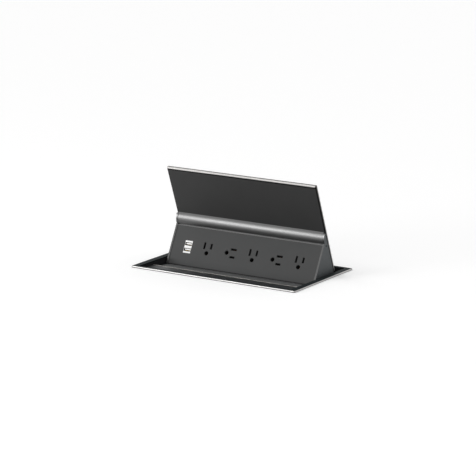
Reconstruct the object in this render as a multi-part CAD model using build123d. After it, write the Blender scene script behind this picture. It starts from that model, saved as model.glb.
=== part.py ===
from build123d import *
import math
import os

# Flip-up desk power unit, opened. Millimetres, +Z up, -Y towards the user.
# The origin is the centre of the desk cut-out, on the desk's surface.
# The lid, the fascia and what hangs on them are drawn shut and then swung open.

# Bezel frame that lies on the desk
frame_length = 305.0
frame_depth = 176.0
frame_thickness = 2.0
frame_corner = 2.0
frame_rim_round = 0.8
flange_side = 11.0
flange_end = 7.0
gasket_thickness = 0.8
gasket_width = 3.5
skirt_thickness = 1.5
skirt_depth = 12.0
cutout_gap = 0.5

# Tub under the desk
tub_depth = 96.0
side_plate_thickness = 5.0
side_plate_setback = 0.5
wall_thickness = 1.5
shelf_gap = 0.2
shelf_thickness = 1.6
shelf_lip = 5.0
bumper_height = 1.6
bumper_radius = 4.0
bumper_round = 0.6
bumper_inset = 14.0
tray_angle = 9.0

# Swing of the lid
opening_angle = 69.0
heel_travel = 24.4
lid_gap = 1.2

# Lid
lid_side_gap = 2.2
lid_panel_thickness = 2.6
lid_liner_thickness = 2.0
lid_liner_inset = 1.6
lid_corner = 1.5
lid_rim_round = 0.8

# Wedge that carries the outlets
fascia_angle = 48.2
apex_from_heel = 69.6
fascia_top = 19.3
fascia_height = 64.2
fascia_thickness = 2.0
end_plate_thickness = 3.0
end_plate_proud = 0.8
wedge_rear_gap = 1.3
wedge_drop = 62.0
cover_thickness = 1.5
cover_tab = 12.0
cover_foot_along = 14.0
cover_foot_under = 13.8
joint_gap = 0.1

# Ridge bar between the fascia and the lid
bead_radius = 22.0
bead_proud = 7.4
nose_round = 1.5
lip_width = 1.2
cove_width = 1.5
cove_depth = 3.0
ridge_depth = 12.0
ridge_web = 4.0
ridge_tail = 9.0

# Lower rail under the fascia
rail_reach = 31.0
rail_angle = 67.0
rail_thickness = 2.5
rail_groove = 2.0
rail_web_height = 9.0
rail_tip_radius = 2.2

# Guide pins, one below the lid's heel and one behind the lower rail, in arc tracks
inner_pin_setback = 6.6
inner_pin_drop = 39.5
outer_pin_along = 18.9
pin_rail_gap = 0.2
pin_radius = 2.5
pin_head_radius = 4.5
pin_head_thickness = 1.5
pin_boss = 1.0
bush_radius = 4.0
track_gap = 0.3
track_depth = 3.4

# Outlets and USB ports
outlet_count = 5
last_outlet_margin = 36.9
usb_margin = 32.7
usb_pitch = 37.0
outlet_centre = 53.0
outlet_body_gap = 9.0
outlet_body_depth = 22.0
outlet_body_chamfer = 1.0
window_gap = 0.6
blade_spacing = 12.7
ground_offset = 11.9
slot_width = 2.4
hot_slot = 8.2
neutral_slot = 9.8
ground_slot_width = 6.0
ground_slot_height = 7.0
slot_depth = 17.0
contact_thickness = 0.5
contact_length = 10.0
contact_clearance = 0.15
usb_width = 13.6
usb_height = 20.5
usb_insert_depth = 24.0
usb_collar = 3.0
usb_port_width = 12.5
usb_port_height = 5.12
usb_port_pitch = 9.6
usb_shell_thickness = 0.3
usb_shell_depth = 14.0
usb_tongue_width = 10.2
usb_tongue_thickness = 1.9
usb_tongue_offset = 0.9
usb_tongue_setback = 1.5
usb_board_thickness = 1.6
terminal_length = 26.0
terminal_width = 12.0
terminal_height = 14.0
terminal_side_gap = 2.0
terminal_drop = 31.0
terminal_pitch = 8.7
terminal_hole_radius = 3.0
terminal_hole_depth = 4.2
terminal_screw_thickness = 2.1

# Screws
screw_radius = 1.5
screw_head_radius = 2.7
screw_length = 8.0
screw_gap = 0.1
frame_screw_inset = 16.4
frame_screw_cover = 2.0
tub_screw_inset = 20.5
tub_head_radius = 2.0
pan_head_height = 1.5
end_screw_radius = 0.9
end_head_radius = 1.8
end_head_depth = 1.5
ridge_screw_drop = 1.3
ridge_screw_depth = 5.8
rail_screw_depth = 2.25
fascia_screw_radius = 1.05
fascia_head_radius = 2.1
fascia_screw_cover = 0.8
fascia_screw_inset = 12.0
ridge_row_drop = 5.4
rail_row_rise = 5.4

# Mounting brackets and their jack screws
bracket_width = 30.0
bracket_thickness = 2.5
bracket_height = 34.0
bracket_reach = 26.0
bracket_top = -50.0
bracket_centre = -35.0
bracket_corner = 6.0
bracket_screw_drop = 20.4
bracket_screw_spread = 9.0
bracket_screw_depth = 2.5
jack_radius = 3.0
jack_length = 36.0
jack_pad_radius = 8.0
jack_pad_thickness = 3.0
jack_pad_chamfer = 0.6
jack_knob_radius = 7.0
jack_knob_thickness = 6.0
jack_knob_round = 1.2
jack_gap = 0.05
desk_thickness = 30.0

# Cable gland in the tub's floor
gland_bore_radius = 4.5
gland_radius = 8.0
gland_flange_radius = 11.0
gland_flange_thickness = 3.0
gland_flange_round = 0.9
gland_nut_radius = 11.0
gland_nut_thickness = 5.0
gland_tail = 14.0
gland_side_margin = 36.0
gland_front_margin = 35.5

# Levels and faces that follow from these
frame_top = gasket_thickness + frame_thickness
lid_thickness = lid_panel_thickness + lid_liner_thickness
lid_under = frame_top - lid_thickness
opening_half = frame_depth / 2 - flange_end
side_inner = frame_length / 2 - flange_side - side_plate_setback
side_outer = side_inner + side_plate_thickness
wall_inner = opening_half - side_plate_setback
wall_outer = wall_inner + wall_thickness
heel = opening_half - lid_gap
lid_front = -heel
shelf_top = lid_under - bumper_height
floor_top = -tub_depth + wall_thickness
gland_x = -side_inner + gland_side_margin
gland_y = -wall_inner + gland_front_margin
lid_width = frame_length - 2 * (flange_side + lid_side_gap)
wedge_half = lid_width / 2
wedge_rear = heel - wedge_rear_gap
inner_half = wedge_half - end_plate_thickness
apex = heel - apex_from_heel
fascia_foot = fascia_top + fascia_height
rail_root = fascia_foot + rail_groove
lip_top = fascia_top - joint_gap - lip_width
bead_foot = lip_top - cove_width
usb_centre_x = usb_margin - wedge_half
outlet_span = lid_width - usb_margin - usb_pitch - last_outlet_margin
outlet_pitch = outlet_span / (outlet_count - 1)
outlet_body_size = outlet_pitch - outlet_body_gap

# The swing is a pure turn about a centre above the desk, so the lid's heel moves straight back.
centre_y = heel - heel_travel / 2
centre_z = frame_top + heel_travel / 2 / math.tan(math.radians(opening_angle / 2))
swing_open = Pos(0, centre_y, centre_z) * Rot(-opening_angle, 0, 0) * Pos(0, -centre_y, -centre_z)

slope_cos = math.cos(math.radians(fascia_angle))
slope_sin = math.sin(math.radians(fascia_angle))
fascia_plane = Plane(origin=(0, apex, frame_top), x_dir=(1, 0, 0), z_dir=(0, -slope_sin, -slope_cos))


def fascia_point(down, behind):
    """A point of the shut side view, by its distance down the fascia and behind it."""
    return (
        apex + down * slope_cos + behind * slope_sin,
        frame_top - down * slope_sin + behind * slope_cos,
    )


def outline(*points):
    """A closed side view in Y and Z, its points taken in one turning sense."""
    pairs = zip(points, points[1:] + points[:1])
    turn = sum(a[0] * b[1] - b[0] * a[1] for a, b in pairs)
    return Polygon(*(points if turn > 0 else points[::-1]), align=None)


def along_x(section, start, end):
    """A side view drawn out along X."""
    low, high = sorted((start, end))
    return extrude(Plane.YZ.offset(low) * section, high - low, dir=(1, 0, 0))


def rod(centre, radius, start, end):
    """A round bar along X."""
    return along_x(Pos(*centre) * Circle(radius), start, end)


def below(level):
    """All of a side view under one level."""
    return Pos(0, level - frame_length / 2) * Rectangle(2 * frame_length, frame_length)


def block(x, y, z):
    """A box from its lowest and highest values on each axis."""
    size = [high - low for low, high in (x, y, z)]
    middle = [(low + high) / 2 for low, high in (x, y, z)]
    return Pos(*middle) * Box(*size)


def fascia_block(x, width, down, behind):
    """A box square to the fascia: centred on x, from and to down, from and to behind."""
    size = (width, down[1] - down[0], behind[1] - behind[0])
    middle = (x, -(down[0] + down[1]) / 2, -(behind[0] + behind[1]) / 2)
    return fascia_plane * Pos(*middle) * Box(*size)


def fascia_hole(x, down, radius, behind):
    """A round bar square to the fascia."""
    middle = (x, -down, -(behind[0] + behind[1]) / 2)
    return fascia_plane * Pos(*middle) * Cylinder(radius, behind[1] - behind[0])


def save(name, shape, shut=False):
    """Writes one node; pieces drawn shut are swung open first."""
    placed = swing_open * shape if shut else shape
    placed.label = name
    export_step(placed, f"parts/{name}.step")


def group(solids):
    """Separate solids under one name."""
    return Compound(children=list(solids))


# Housing

def make_bezel_frame():
    outer = block(
        (-frame_length / 2, frame_length / 2),
        (-frame_depth / 2, frame_depth / 2),
        (gasket_thickness, frame_top),
    )
    outer = fillet(outer.edges().filter_by(Axis.Z), frame_corner)
    outer = fillet(outer.faces().sort_by(Axis.Z)[-1].edges(), frame_rim_round)
    opening_x = frame_length / 2 - flange_side
    opening = block(
        (-opening_x, opening_x), (-opening_half, opening_half), (-skirt_depth, frame_top)
    )
    skirt = block(
        (-side_outer - skirt_thickness, side_outer + skirt_thickness),
        (-wall_outer - skirt_thickness, wall_outer + skirt_thickness),
        (-skirt_depth, gasket_thickness),
    )
    hollow = block(
        (-side_outer, side_outer), (-wall_outer, wall_outer), (-skirt_depth, gasket_thickness)
    )
    frame = (outer - opening) + (skirt - hollow)
    for screw in frame_screw_solids(screw_gap):
        frame -= screw
    return frame


def make_frame_gasket():
    reach_x = side_outer + skirt_thickness + cutout_gap
    reach_y = wall_outer + skirt_thickness + cutout_gap
    outer = block(
        (-reach_x - gasket_width, reach_x + gasket_width),
        (-reach_y - gasket_width, reach_y + gasket_width),
        (0, gasket_thickness),
    )
    return outer - block((-reach_x, reach_x), (-reach_y, reach_y), (0, gasket_thickness))


def track_cutter(pin, face, outward):
    """The arc groove that a pin's bush runs in, cut into a side plate's inner face."""
    reach = (pin[0] - centre_y, pin[1] - centre_z)
    start = math.degrees(math.atan2(reach[1], reach[0])) - opening_angle
    arc = CenterArc((centre_y, centre_z), math.hypot(*reach), start, opening_angle)
    groove = SlotArc(arc, 2 * (bush_radius + track_gap))
    return along_x(groove, face, face + outward * track_depth)


def make_side_plate(side):
    near, far = sorted((side * side_inner, side * side_outer))
    plate = block((near, far), (-wall_outer, wall_outer), (floor_top, gasket_thickness))
    for pin in pin_centres():
        plate -= track_cutter(pin, side * side_inner, side)
    for screw in frame_screw_solids(0) + tub_screw_solids(0) + bracket_screw_solids(0):
        plate -= screw
    return plate


def make_end_wall(side):
    near, far = sorted((side * wall_inner, side * wall_outer))
    return block((-side_inner, side_inner), (near, far), (floor_top, gasket_thickness))


def make_floor_tray():
    tray = block((-side_outer, side_outer), (-wall_outer, wall_outer), (-tub_depth, floor_top))
    for screw in tub_screw_solids(screw_gap):
        tray -= screw
    return tray - Pos(gland_x, gland_y, floor_top) * Cylinder(gland_radius, 4 * wall_thickness)


def make_tray_angles():
    """Angle strips in the corners between the floor and the end walls."""
    angles = []
    for side in (-1, 1):
        upright = sorted((side * (wall_inner - wall_thickness), side * wall_inner))
        foot = sorted((side * (wall_inner - tray_angle), side * wall_inner))
        angles.append(
            block((-side_inner, side_inner), upright, (floor_top, floor_top + tray_angle))
            + block((-side_inner, side_inner), foot, (floor_top, floor_top + wall_thickness))
        )
    return group(angles)


def make_front_shelf():
    tip = opened(rail_point(rail_reach, rail_thickness / 2))
    shelf_edge = tip[0] - rail_tip_radius - shelf_gap
    shelf = block(
        (-side_inner, side_inner), (-wall_inner, shelf_edge), (shelf_top - shelf_thickness, shelf_top)
    )
    shelf += block(
        (-side_inner, side_inner),
        (shelf_edge - shelf_thickness, shelf_edge),
        (shelf_top - shelf_lip, shelf_top),
    )
    shelf += block(
        (-side_inner, side_inner),
        (-wall_inner, -wall_inner + shelf_thickness),
        (shelf_top - 2 * shelf_lip, shelf_top),
    )
    return shelf


def make_bumpers():
    reach = wedge_half - bumper_inset
    y = lid_front + bumper_inset
    pads = []
    for x in (-reach, reach):
        pad = Pos(x, y, shelf_top + bumper_height / 2) * Cylinder(bumper_radius, bumper_height)
        pads.append(fillet(pad.edges().group_by(Axis.Z)[-1], bumper_round))
    return group(pads)


def frame_screw_solids(extra):
    """Screws through the skirt into the side plates, or their holes with extra room."""
    z = -skirt_depth / 2
    solids = []
    reach = wall_outer - frame_screw_inset
    for side in (-1, 1):
        for y in (-reach, reach):
            head = (side * side_outer, side * (side_outer + skirt_thickness))
            shank = (side * (side_inner + frame_screw_cover), side * side_outer)
            solids.append(
                rod((y, z), screw_head_radius + extra, *head)
                + rod((y, z), screw_radius, *shank)
            )
    return solids


def tub_screw_solids(extra):
    """Screws up through the floor tray into the side plates, or their holes."""
    x = (side_inner + side_outer) / 2
    reach = wall_outer - tub_screw_inset
    solids = []
    for side in (-1, 1):
        for y in (-reach, 0, reach):
            head = Pos(side * x, y, floor_top - wall_thickness / 2) * Cylinder(
                tub_head_radius + extra, wall_thickness
            )
            shank = Pos(side * x, y, floor_top + screw_length / 2) * Cylinder(
                screw_radius, screw_length
            )
            solids.append(head + shank)
    return solids


# Mounting brackets

def bracket_screw_solids(extra):
    """Screws through the brackets' upright legs into the side plates."""
    z = bracket_top - bracket_screw_drop
    solids = []
    for side in (-1, 1):
        for y in (bracket_centre - bracket_screw_spread, bracket_centre + bracket_screw_spread):
            face = side_outer + bracket_thickness
            head = (side * face, side * (face + pan_head_height))
            shank = (side * (side_outer - bracket_screw_depth), side * face)
            solids.append(
                rod((y, z), screw_head_radius, *head)
                + rod((y, z), screw_radius + extra, *shank)
            )
    return solids


def jack_x(side):
    return side * (side_outer + bracket_reach - jack_pad_radius)


def make_bracket(side):
    width = (bracket_centre - bracket_width / 2, bracket_centre + bracket_width / 2)
    upright = sorted((side * side_outer, side * (side_outer + bracket_thickness)))
    bracket = block(upright, width, (bracket_top - bracket_height, bracket_top))
    foot = sorted((side * side_outer, side * (side_outer + bracket_reach)))
    bracket += block(foot, width, (bracket_top - bracket_thickness, bracket_top))
    rim = side * (side_outer + bracket_reach)
    corners = bracket.edges().filter_by(Axis.Z).sort_by(lambda edge: abs(edge.center().X - rim))[:2]
    bracket = fillet(corners, bracket_corner)
    bracket -= Pos(jack_x(side), bracket_centre, bracket_top) * Cylinder(
        jack_radius + jack_gap, 4 * bracket_thickness
    )
    for screw in bracket_screw_solids(screw_gap):
        bracket -= screw
    return bracket


def make_jack_screw(side):
    top = -desk_thickness
    pad = Cylinder(jack_pad_radius, jack_pad_thickness, align=(Align.CENTER, Align.CENTER, Align.MAX))
    pad = chamfer(pad.edges().group_by(Axis.Z)[-1], jack_pad_chamfer)
    shank = Cylinder(jack_radius, jack_length, align=(Align.CENTER, Align.CENTER, Align.MAX))
    knob = Pos(0, 0, -jack_length) * Cylinder(
        jack_knob_radius, jack_knob_thickness, align=(Align.CENTER, Align.CENTER, Align.MIN)
    )
    knob = fillet(knob.edges().group_by(Axis.Z)[0], jack_knob_round)
    return Pos(jack_x(side), bracket_centre, top) * (pad + shank + knob)


# Cable gland

def make_gland():
    flange = Pos(0, 0, floor_top + gland_flange_thickness / 2) * Cylinder(
        gland_flange_radius, gland_flange_thickness
    )
    flange = fillet(flange.edges().group_by(Axis.Z)[-1], gland_flange_round)
    length = gland_tail + wall_thickness
    body = Pos(0, 0, floor_top - length / 2) * Cylinder(gland_radius - joint_gap, length)
    whole = flange + body
    span = length + gland_flange_thickness
    bore = Pos(0, 0, floor_top + gland_flange_thickness - span / 2) * Cylinder(gland_bore_radius, span)
    return Pos(gland_x, gland_y, 0) * (whole - bore)


def make_gland_nut():
    nut = extrude(RegularPolygon(gland_nut_radius, 6), -gland_nut_thickness)
    nut -= Cylinder(gland_radius + joint_gap, 4 * gland_nut_thickness)
    return Pos(gland_x, gland_y, -tub_depth) * nut


# Lid

def make_lid_panel():
    panel = block((-wedge_half, wedge_half), (lid_front, heel), (frame_top - lid_panel_thickness, frame_top))
    panel = fillet(panel.edges().filter_by(Axis.Z), lid_corner)
    return fillet(panel.faces().sort_by(Axis.Z)[-1].edges(), lid_rim_round)


def make_lid_liner():
    half = wedge_half - lid_liner_inset
    liner = block(
        (-half, half),
        (lid_front + lid_liner_inset, heel - lid_liner_inset),
        (lid_under, lid_under + lid_liner_thickness),
    )
    return fillet(liner.edges().filter_by(Axis.Z), lid_corner)


# Wedge

def lid_point(behind):
    """Where a line behind the fascia, or proud of it, meets the lid's underside."""
    down = (lid_thickness + behind * slope_cos) / slope_sin
    return fascia_point(down, behind)


def bulge(start, end, radius):
    """The sliver between a chord and its arc, which bulges to the right of the way from start to end."""
    along = (end[0] - start[0], end[1] - start[1])
    chord = math.hypot(*along)
    rise = radius - math.sqrt(radius ** 2 - chord ** 2 / 4)
    crown = (
        (start[0] + end[0]) / 2 + along[1] / chord * rise,
        (start[1] + end[1]) / 2 - along[0] / chord * rise,
    )
    return make_face(Wire([ThreePointArc(start, crown, end), Line(end, start)]))


def ridge_section():
    """The ridge bar's side view: the round bead, the cove and the lip under it and the web behind."""
    top, foot = lid_point(-bead_proud), fascia_point(bead_foot, 0)
    body = outline(
        top,
        foot,
        fascia_point(bead_foot, cove_depth),
        fascia_point(lip_top, cove_depth),
        fascia_point(lip_top, 0),
        fascia_point(fascia_top - joint_gap, 0),
        fascia_point(fascia_top - joint_gap, fascia_thickness),
        fascia_point(fascia_top + ridge_tail, fascia_thickness),
        fascia_point(fascia_top + ridge_tail, fascia_thickness + ridge_web),
        fascia_point(fascia_top, fascia_thickness + ridge_web),
        lid_point(ridge_depth),
    )
    return body + bulge(top, foot, bead_radius)


def make_ridge_bar():
    bar = along_x(ridge_section(), -inner_half, inner_half)
    for screw in end_screw_solids(0):
        bar -= screw
    for screw in fascia_screw_solids(0):
        bar -= screw
    return bar


def opened(point):
    """Where a point of the shut side view goes when the lid is opened."""
    turn = math.radians(opening_angle)
    y, z = point[0] - centre_y, point[1] - centre_z
    return (
        centre_y + y * math.cos(turn) + z * math.sin(turn),
        centre_z - y * math.sin(turn) + z * math.cos(turn),
    )


def rail_point(along, under):
    """A point of the lower rail, by its distance out from the fascia and under the rail's face."""
    turn = math.radians(rail_angle)
    return fascia_point(
        rail_root + along * math.cos(turn) + under * math.sin(turn),
        -along * math.sin(turn) + under * math.cos(turn),
    )


def make_lower_rail():
    face = outline(
        rail_point(0, 0),
        rail_point(rail_reach, 0),
        rail_point(rail_reach, rail_thickness),
        rail_point(-rail_thickness, rail_thickness),
    )
    tip = Pos(*rail_point(rail_reach, rail_thickness / 2)) * Circle(rail_tip_radius)
    web = outline(
        fascia_point(rail_root, 0),
        fascia_point(rail_root + rail_thickness, 0),
        fascia_point(rail_root + rail_thickness, fascia_thickness + rail_thickness),
        fascia_point(fascia_foot - rail_web_height, fascia_thickness + rail_thickness),
        fascia_point(fascia_foot - rail_web_height, fascia_thickness),
        fascia_point(rail_root, fascia_thickness),
    )
    rail = along_x(face + tip + web, -inner_half, inner_half)
    for screw in end_screw_solids(0) + fascia_screw_solids(0):
        rail -= screw
    return rail


def wedge_outline():
    """The end plates' side view, shut."""
    top, foot = lid_point(-bead_proud - end_plate_proud), fascia_point(bead_foot, -end_plate_proud)
    tip = rail_point(rail_reach, rail_thickness / 2)
    view = outline(
        (wedge_rear, lid_under),
        (wedge_rear, lid_under - wedge_drop),
        cover_foot(),
        rail_point(rail_reach, rail_thickness),
        rail_point(rail_reach, 0),
        fascia_point(rail_root + rail_thickness, -end_plate_proud),
        foot,
        top,
    )
    view += bulge(top, foot, bead_radius + end_plate_proud)
    nose = view.vertices().sort_by_distance((*top, 0))[0]
    view = fillet(nose, nose_round)
    view += Pos(*tip) * Circle(rail_tip_radius)
    for pin in pin_centres():
        view += Pos(*pin) * Circle(pin_head_radius + pin_boss)
    return view & below(lid_under)


def pin_centres():
    """Where the two guide pins of a side are with the lid shut."""
    inner = (wedge_rear - inner_pin_setback, lid_under - inner_pin_drop)
    outer = rail_point(outer_pin_along, rail_thickness + pin_head_radius + pin_rail_gap)
    return inner, outer


def make_end_plate(side):
    plate = along_x(wedge_outline(), side * inner_half, side * wedge_half)
    for pin in guide_pin_solids(side):
        plate -= pin
    for screw in end_screw_solids(screw_gap):
        plate -= screw
    return plate


def strip(start, end, thickness):
    """Sheet seen edge on, its thickness to the left of the way from start to end."""
    along = (end[0] - start[0], end[1] - start[1])
    length = math.hypot(*along)
    left = (-along[1] / length * thickness, along[0] / length * thickness)
    return outline(
        start, end, (end[0] + left[0], end[1] + left[1]), (start[0] + left[0], start[1] + left[1])
    )


def cover_foot():
    """Where the rear cover ends, beside the lower rail."""
    return rail_point(cover_foot_along, cover_foot_under)


def make_rear_cover():
    top = (wedge_rear, lid_under)
    corner = (wedge_rear, lid_under - wedge_drop)
    section = strip(corner, top, cover_thickness)
    section += strip(cover_foot(), corner, cover_thickness)
    section += strip(top, (wedge_rear - cover_tab, lid_under), cover_thickness)
    return along_x(section, -inner_half, inner_half)


# Screws that hold the wedge together

def end_screw_centres():
    return (
        fascia_point(fascia_top - ridge_screw_drop, ridge_screw_depth),
        fascia_point(rail_root + rail_thickness / 2, rail_screw_depth),
    )


def end_screw_solids(extra):
    """Screws through the end plates into the ridge bar and the lower rail."""
    step = wedge_half - end_head_depth
    solids = []
    for side in (-1, 1):
        for centre in end_screw_centres():
            head = (side * step, side * wedge_half)
            shank = (side * (inner_half - screw_length), side * step)
            solids.append(
                rod(centre, end_head_radius + extra, *head) + rod(centre, end_screw_radius, *shank)
            )
    return solids


def fascia_screw_places():
    """The fascia's screws go in from behind, so none shows on its face."""
    reach = inner_half - fascia_screw_inset
    top = fascia_top + ridge_row_drop
    foot = fascia_foot - rail_row_rise
    return [(x, down) for x in (-reach, 0, reach) for down in (top, foot)]


def fascia_screw_solids(extra):
    """Screws from behind through the ridge bar and the lower rail into the fascia."""
    radius = fascia_screw_radius
    solids = []
    for x, down in fascia_screw_places():
        web = ridge_web if down < outlet_centre else rail_thickness
        back = fascia_thickness + web
        shank = fascia_hole(x, down, radius + extra, (fascia_screw_cover, back))
        head = fascia_hole(x, down, fascia_head_radius, (back, back + radius))
        solids.append(shank + head)
    return solids


# Guide pins and bushes

def guide_pin_solids(side):
    start = inner_half - pin_head_thickness
    solids = []
    for centre in pin_centres():
        head = (side * start, side * inner_half)
        shank = (side * inner_half, side * (side_inner + track_depth - track_gap))
        solids.append(
            rod(centre, pin_head_radius, *head) + rod(centre, pin_radius, *shank)
        )
    return solids


def guide_bush_solids(side):
    end = side_inner + track_depth - track_gap
    solids = []
    for centre in pin_centres():
        span = (side * wedge_half, side * end)
        solids.append(rod(centre, bush_radius, *span) - rod(centre, pin_radius, *span))
    return solids


# Fascia, outlets and USB ports

def outlet_x(index):
    """Centre of an outlet along the fascia, counted from the left."""
    return wedge_half - last_outlet_margin - (outlet_count - 1 - index) * outlet_pitch


def is_turned(index):
    """Every second outlet is turned a quarter turn."""
    return index % 2 == 1


def outlet_place(index, across, down):
    """A point of an outlet's pattern, across and down from its centre, as x and down."""
    if is_turned(index):
        return outlet_x(index) - down, outlet_centre + across
    return outlet_x(index) + across, outlet_centre + down


def blade_slot(index, across, length, depth, extra=0.0):
    """One blade's slot, square to the fascia."""
    x, down = outlet_place(index, across, -ground_offset / 2)
    wide, tall = slot_width + 2 * extra, length + 2 * extra
    if is_turned(index):
        wide, tall = tall, wide
    return fascia_block(x, wide, (down - tall / 2, down + tall / 2), depth)


def ground_hole(index, depth, extra=0.0):
    """The ground pin's hole: flat on the side of the blades, round on the other."""
    radius = ground_slot_width / 2 + extra
    flat = ground_slot_height - ground_slot_width / 2 + extra
    x, down = outlet_place(index, 0, ground_offset / 2)
    hole = fascia_hole(x, down, radius, depth)
    near = outlet_place(index, 0, ground_offset / 2 - flat + radius - extra)
    if is_turned(index):
        middle_x, width = (near[0] + x) / 2, abs(near[0] - x)
        return hole + fascia_block(middle_x, width, (down - radius, down + radius), depth)
    return hole + fascia_block(x, 2 * radius, (min(near[1], down), max(near[1], down)), depth)


def outlet_holes(index, depth, extra=0.0):
    half = blade_spacing / 2
    return (
        blade_slot(index, -half, neutral_slot, depth, extra)
        + blade_slot(index, half, hot_slot, depth, extra)
        + ground_hole(index, depth, extra)
    )


def make_fascia_plate():
    """The outlet panel; its windows are a little larger than the slots behind them."""
    through = (-fascia_thickness, 2 * fascia_thickness)
    plate = fascia_block(
        0, 2 * inner_half - 2 * joint_gap, (fascia_top, fascia_foot), (0, fascia_thickness)
    )
    for index in range(outlet_count):
        plate -= outlet_holes(index, through, window_gap)
    plate -= usb_block(usb_width + 2 * joint_gap, usb_height + 2 * joint_gap, through)
    for screw in fascia_screw_solids(0):
        plate -= screw
    return plate


def make_receptacle(index):
    half = outlet_body_size / 2
    body = fascia_block(
        outlet_x(index),
        outlet_body_size,
        (outlet_centre - half, outlet_centre + half),
        (fascia_thickness, fascia_thickness + outlet_body_depth),
    )
    body = chamfer(body.edges().group_by(Axis.Z)[-1], outlet_body_chamfer)
    back = fascia_thickness + slot_depth
    body -= outlet_holes(index, (fascia_thickness, back))
    for cutter in contact_pockets(index):
        body -= cutter
    return body


def contact_span():
    start = fascia_thickness + slot_depth - contact_length
    return start, start + contact_length


def contact_pockets(index):
    """Wider pockets at the inner end of the slots, which hold the spring contacts."""
    half = blade_spacing / 2
    room = contact_thickness + contact_clearance
    return [
        blade_slot(index, -half, neutral_slot, contact_span(), room),
        blade_slot(index, half, hot_slot, contact_span(), room),
        ground_hole(index, contact_span(), room),
    ]


def blade_contact(index, across, length):
    wall = contact_thickness
    start, end = contact_span()
    whole = blade_slot(index, across, length, (start, end), wall)
    return whole - blade_slot(index, across, length, (start, end - wall))


def ground_contact(index):
    start, end = contact_span()
    whole = ground_hole(index, (start, end), contact_thickness)
    return whole - ground_hole(index, (start, end - contact_thickness))


def usb_block(width, height, depth, rise=0.0):
    middle = outlet_centre - rise
    return fascia_block(usb_centre_x, width, (middle - height / 2, middle + height / 2), depth)


def port_rises():
    return (-usb_port_pitch / 2, usb_port_pitch / 2)


def make_usb_insert():
    insert = usb_block(usb_width, usb_height, (-joint_gap, usb_insert_depth))
    insert += usb_block(
        usb_width + 2 * usb_collar,
        usb_height + 2 * usb_collar,
        (fascia_thickness, fascia_thickness + usb_collar),
    )
    room = 2 * usb_shell_thickness
    for rise in port_rises():
        port = (usb_port_width + room, usb_port_height + room)
        insert -= usb_block(*port, (-fascia_thickness, usb_shell_depth), rise)
    return insert


def make_usb_shells():
    shells = []
    room = 2 * usb_shell_thickness
    for rise in port_rises():
        shell = usb_block(
            usb_port_width + room, usb_port_height + room, (joint_gap, usb_shell_depth), rise
        )
        back = usb_shell_depth - usb_shell_thickness
        shells.append(
            shell - usb_block(usb_port_width, usb_port_height, (-fascia_thickness, back), rise)
        )
    return group(shells)


def make_usb_tongues():
    tongues = []
    for rise in port_rises():
        tongues.append(
            usb_block(
                usb_tongue_width,
                usb_tongue_thickness,
                (usb_tongue_setback, usb_shell_depth - usb_shell_thickness),
                rise + usb_tongue_offset,
            )
        )
    return group(tongues)


def make_usb_board():
    return usb_block(
        usb_width + 2 * usb_collar,
        usb_height + 4 * usb_collar,
        (usb_insert_depth, usb_insert_depth + usb_board_thickness),
    )


def terminal_places():
    """Centres of the terminal block's three holes: x, and each height."""
    x = inner_half - terminal_width / 2 - terminal_side_gap
    middle = lid_under - terminal_drop
    return x, [middle + step * terminal_pitch for step in (-1, 0, 1)]


def make_terminal_block():
    back = wedge_rear - cover_thickness
    x, heights = terminal_places()
    body = block(
        (x - terminal_width / 2, x + terminal_width / 2),
        (back - terminal_height, back),
        (heights[1] - terminal_length / 2, heights[1] + terminal_length / 2),
    )
    for z in heights:
        body -= Pos(x, back - terminal_height, z) * Rot(90, 0, 0) * Cylinder(
            terminal_hole_radius, 2 * terminal_hole_depth
        )
    return body


def make_terminal_screws():
    face = wedge_rear - cover_thickness - terminal_height
    x, heights = terminal_places()
    y = face + terminal_hole_depth - terminal_screw_thickness / 2
    radius = terminal_hole_radius - screw_gap
    return group(
        Pos(x, y, z) * Rot(90, 0, 0) * Cylinder(radius, terminal_screw_thickness) for z in heights
    )


def save_housing():
    save("bezel_frame", make_bezel_frame())
    save("frame_gasket", make_frame_gasket())
    save("side_plate_left", make_side_plate(-1))
    save("side_plate_right", make_side_plate(1))
    save("front_wall", make_end_wall(-1))
    save("rear_wall", make_end_wall(1))
    save("floor_tray", make_floor_tray())
    save("tray_angles", make_tray_angles())
    save("front_shelf", make_front_shelf())
    save("lid_bumpers", make_bumpers())
    save("frame_screws", group(frame_screw_solids(0)))
    save("tub_screws", group(tub_screw_solids(0)))
    save("bracket_screws", group(bracket_screw_solids(0)))
    save("mounting_bracket_left", make_bracket(-1))
    save("mounting_bracket_right", make_bracket(1))
    save("jack_screw_left", make_jack_screw(-1))
    save("jack_screw_right", make_jack_screw(1))
    save("cable_gland", make_gland())
    save("gland_nut", make_gland_nut())


def save_flip():
    save("lid_panel", make_lid_panel(), shut=True)
    save("lid_liner", make_lid_liner(), shut=True)
    save("ridge_bar", make_ridge_bar(), shut=True)
    save("fascia_plate", make_fascia_plate(), shut=True)
    save("lower_rail", make_lower_rail(), shut=True)
    save("rear_cover", make_rear_cover(), shut=True)
    save("end_screws", group(end_screw_solids(0)), shut=True)
    save("fascia_screws", group(fascia_screw_solids(0)), shut=True)
    for side, word in ((-1, "left"), (1, "right")):
        save(f"end_plate_{word}", make_end_plate(side), shut=True)
        save(f"guide_pins_{word}", group(guide_pin_solids(side)), shut=True)
        save(f"guide_bushes_{word}", group(guide_bush_solids(side)), shut=True)


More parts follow.
